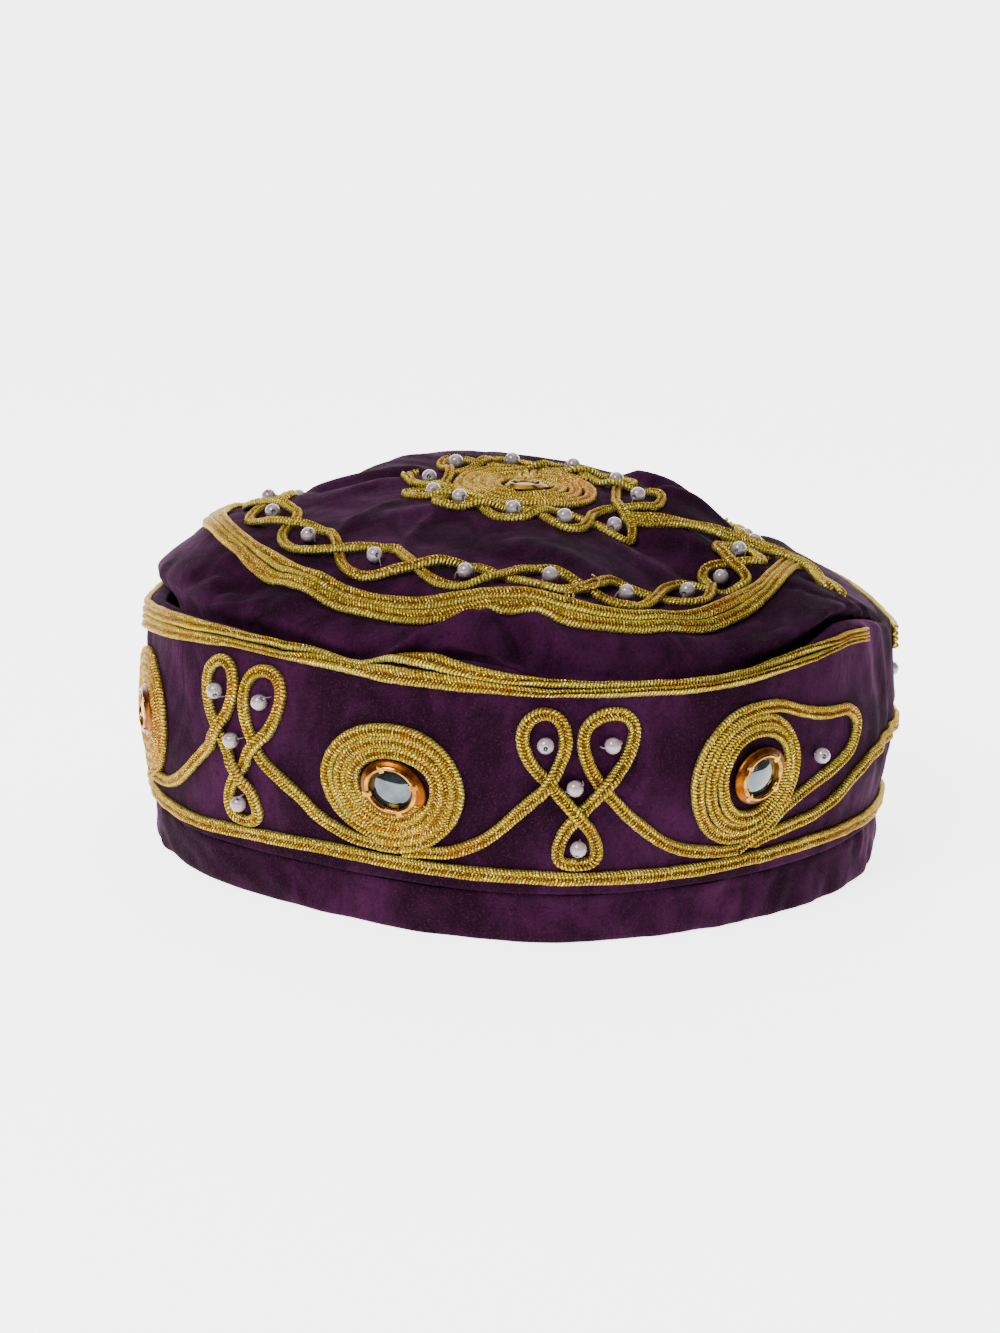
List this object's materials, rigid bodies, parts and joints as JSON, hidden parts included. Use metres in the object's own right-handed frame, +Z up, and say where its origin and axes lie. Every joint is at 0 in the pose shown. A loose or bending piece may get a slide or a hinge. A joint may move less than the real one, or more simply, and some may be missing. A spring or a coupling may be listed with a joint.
{
  "type": "kufi",
  "caption": "Soft round velvet kufi cap with a standing band, a puffed top, couched gold braid in coils and loops, small set mirrors and pearls.",
  "frame": {"origin": "middle of the cap's box, on the surface that its hem rests on", "axes": "+Z up through the crown, -Y to the front of the cap, +X to the side of the seam that gathers the rim"},
  "size_m": [0.1936, 0.1966, 0.0935],
  "materials": {
    "velvet": "deep pile, soft sheen",
    "gold_braid": "metallic thread braid",
    "copper": "polished copper-gold",
    "mirror_glass": "polished glass with a silvered back",
    "pearl": "pearl lustre"
  },
  "bodies": {
    "root": {"band": "velvet", "bezel_1": "copper", "bezel_2": "copper", "bezel_3": "copper", "bezel_4": "copper", "bezel_5": "copper", "bezel_6": "copper", "bezel_centre": "copper", "coil_braid_1": "gold_braid", "coil_braid_2": "gold_braid", "coil_braid_3": "gold_braid", "coil_braid_4": "gold_braid", "coil_braid_5": "gold_braid", "coil_braid_6": "gold_braid", "crown": "velvet", "hem": "velvet", "loop_braid_1": "gold_braid", "loop_braid_2": "gold_braid", "loop_braid_3": "gold_braid", "loop_braid_4": "gold_braid", "loop_braid_5": "gold_braid", "loop_braid_6": "gold_braid", "lower_trim": "gold_braid", "medallion_coil": "gold_braid", "medallion_loops": "gold_braid", "mirror_1": "mirror_glass", "mirror_2": "mirror_glass", "mirror_3": "mirror_glass", "mirror_4": "mirror_glass", "mirror_5": "mirror_glass", "mirror_6": "mirror_glass", "pearl_side": "pearl", "pearls_loops_1": "pearl", "pearls_loops_2": "pearl", "pearls_loops_3": "pearl", "pearls_loops_4": "pearl", "pearls_loops_5": "pearl", "pearls_loops_6": "pearl", "pearls_medallion": "pearl", "pearls_wave": "pearl", "radial_braid_a": "gold_braid", "radial_braid_b": "gold_braid", "ring_trim_a": "gold_braid", "ring_trim_b": "gold_braid", "side_loop": "gold_braid", "stone_centre": "mirror_glass", "upper_trim_a": "gold_braid", "upper_trim_b": "gold_braid", "wave_braid_a": "gold_braid", "wave_braid_b": "gold_braid"}
  },
  "joints": []
}
